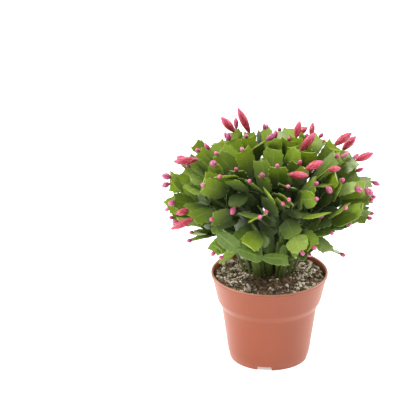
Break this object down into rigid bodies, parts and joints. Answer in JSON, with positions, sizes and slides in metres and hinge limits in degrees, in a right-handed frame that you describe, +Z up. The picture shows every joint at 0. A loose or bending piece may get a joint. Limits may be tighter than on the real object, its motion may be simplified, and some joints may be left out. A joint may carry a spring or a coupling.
{
  "type": "potted thanksgiving cactus",
  "caption": "Clump of flat, toothed, forking stem joints with pink buds on their ends, planted in soil in a round, tapered plastic nursery pot with a collar, a rolled lip and foot notches.",
  "frame": {"origin": "on the floor under the middle of the pot", "axes": "+Z up along the pot's axis, -Y towards the viewer of the picture, +X to that viewer's right"},
  "size_m": [0.2228, 0.2067, 0.2519],
  "materials": {
    "pot": "thin injection-moulded terracotta-coloured plastic with a satin surface, lighter on its lip",
    "soil": "dark, crumbly peat potting soil with bark chips and pale perlite grains",
    "stem": "smooth, slightly waxy green joints, yellow-green at the top and darker towards the soil",
    "bud": "soft satin pink buds of overlapping petals, deeper magenta at the points"
  },
  "bodies": {
    "root": {"pot": "pot", "soil": "soil", "stem_01": "stem", "stem_02": "stem", "stem_03": "stem", "stem_04": "stem", "stem_05": "stem", "stem_06": "stem", "stem_07": "stem", "stem_08": "stem", "stem_09": "stem", "stem_10": "stem", "stem_11": "stem", "stem_12": "stem", "stem_13": "stem", "stem_14": "stem", "stem_15": "stem", "stem_16": "stem", "stem_17": "stem", "stem_18": "stem", "stem_19": "stem", "stem_20": "stem", "stem_21": "stem", "stem_22": "stem", "stem_23": "stem", "stem_24": "stem", "bud_01": "bud", "bud_02": "bud", "bud_03": "bud", "bud_04": "bud", "bud_05": "bud", "bud_06": "bud", "bud_07": "bud", "bud_08": "bud", "bud_09": "bud", "bud_10": "bud", "bud_11": "bud", "bud_12": "bud", "bud_13": "bud", "bud_14": "bud", "bud_15": "bud", "bud_16": "bud", "bud_17": "bud", "bud_18": "bud", "bud_19": "bud", "bud_20": "bud", "bud_21": "bud", "bud_22": "bud", "bud_23": "bud", "bud_24": "bud", "bud_25": "bud", "bud_26": "bud", "bud_27": "bud", "bud_28": "bud", "bud_29": "bud", "bud_30": "bud"}
  },
  "joints": []
}
